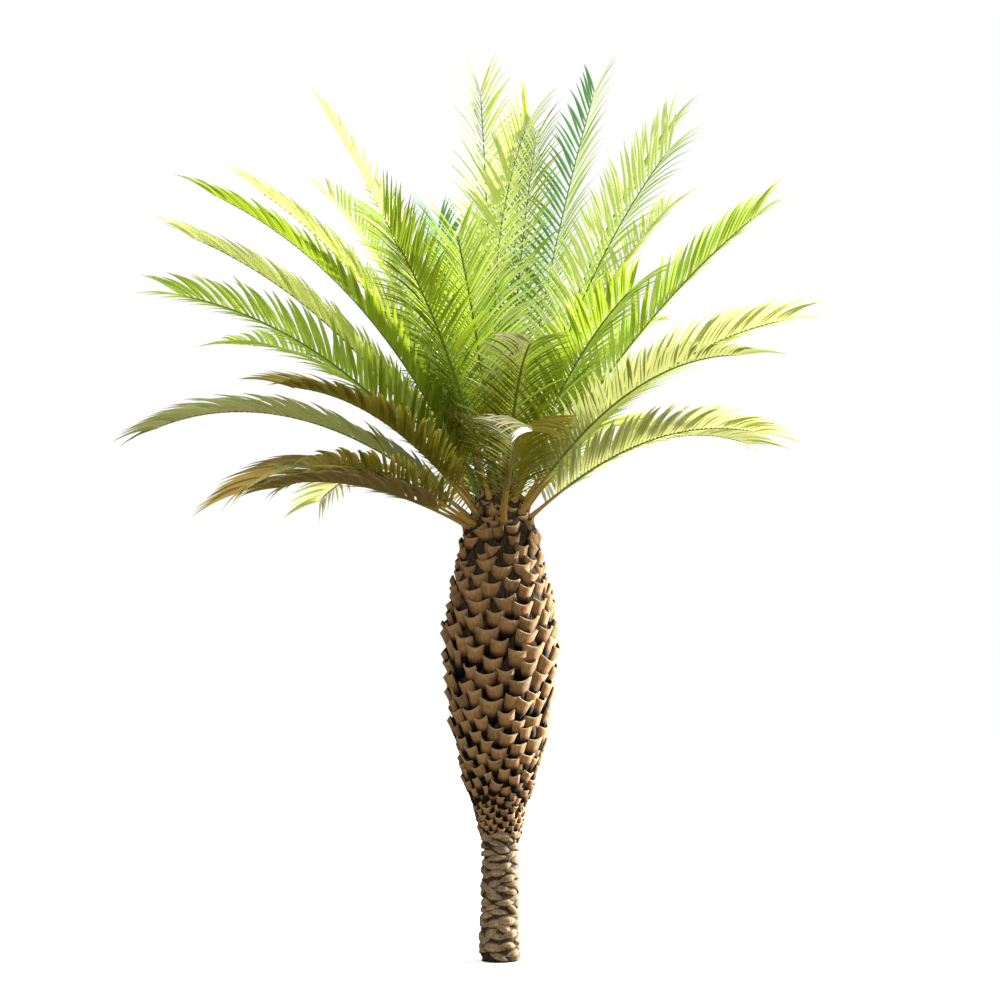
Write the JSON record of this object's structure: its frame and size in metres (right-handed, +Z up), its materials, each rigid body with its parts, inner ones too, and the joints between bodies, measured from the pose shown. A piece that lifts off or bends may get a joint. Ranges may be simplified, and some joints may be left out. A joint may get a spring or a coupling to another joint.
{
  "type": "date palm tree",
  "caption": "Young date palm tree, its trunk trimmed to a pineapple shape above a slim scarred stem, under a full crown of arching feather fronds, rooted in level ground.",
  "frame": {"origin": "middle of the flat cut under the trunk, at ground level", "axes": "+Z up along the trunk, -Y towards the side seen in the picture, +X to its right"},
  "size_m": [4.322, 4.4421, 5.7112],
  "materials": {
    "trunk_bark": "rough fibrous leaf bases, tan-brown with dark creases",
    "frond_low": "olive to tan-brown older leaflets, satin",
    "frond_middle": "mid to yellow-green leaflets, satin",
    "frond_high": "young lime-green leaflets, light shines through",
    "rib": "smooth yellow-olive ribs and petioles, waxy"
  },
  "bodies": {
    "root": {"frond_01": "frond_low", "frond_02_inner": "frond_low", "frond_02_outer": "frond_low", "frond_03_inner": "frond_low", "frond_03_outer": "frond_low", "frond_04_inner": "frond_low", "frond_04_outer": "frond_low", "frond_05_inner": "frond_low", "frond_05_outer": "frond_low", "frond_06_inner": "frond_low", "frond_06_outer": "frond_low", "frond_07_inner": "frond_low", "frond_07_outer": "frond_low", "frond_08_inner": "frond_low", "frond_08_outer": "frond_low", "frond_09_inner": "frond_middle", "frond_09_outer": "frond_middle", "frond_10_inner": "frond_middle", "frond_10_outer": "frond_middle", "frond_11_inner": "frond_low", "frond_11_outer": "frond_low", "frond_12_inner": "frond_middle", "frond_12_outer": "frond_middle", "frond_13_inner": "frond_middle", "frond_13_outer": "frond_middle", "frond_14_inner": "frond_middle", "frond_14_outer": "frond_middle", "frond_15": "frond_middle", "frond_16": "frond_middle", "frond_17_inner": "frond_middle", "frond_17_outer": "frond_middle", "frond_18": "frond_middle", "frond_19": "frond_middle", "frond_20": "frond_middle", "frond_21": "frond_middle", "frond_22": "frond_middle", "frond_23": "frond_middle", "frond_24": "frond_middle", "frond_25": "frond_middle", "frond_26": "frond_middle", "frond_27": "frond_high", "frond_28": "frond_high", "frond_29": "frond_high", "frond_30": "frond_high", "frond_31": "frond_high", "frond_32": "frond_high", "frond_33": "frond_high", "frond_34": "frond_high", "frond_35": "frond_high", "frond_36": "frond_high", "frond_37": "frond_high", "frond_38": "frond_high", "frond_39": "frond_high", "frond_40": "frond_high", "frond_41": "frond_high", "trunk": "trunk_bark"}
  },
  "joints": []
}
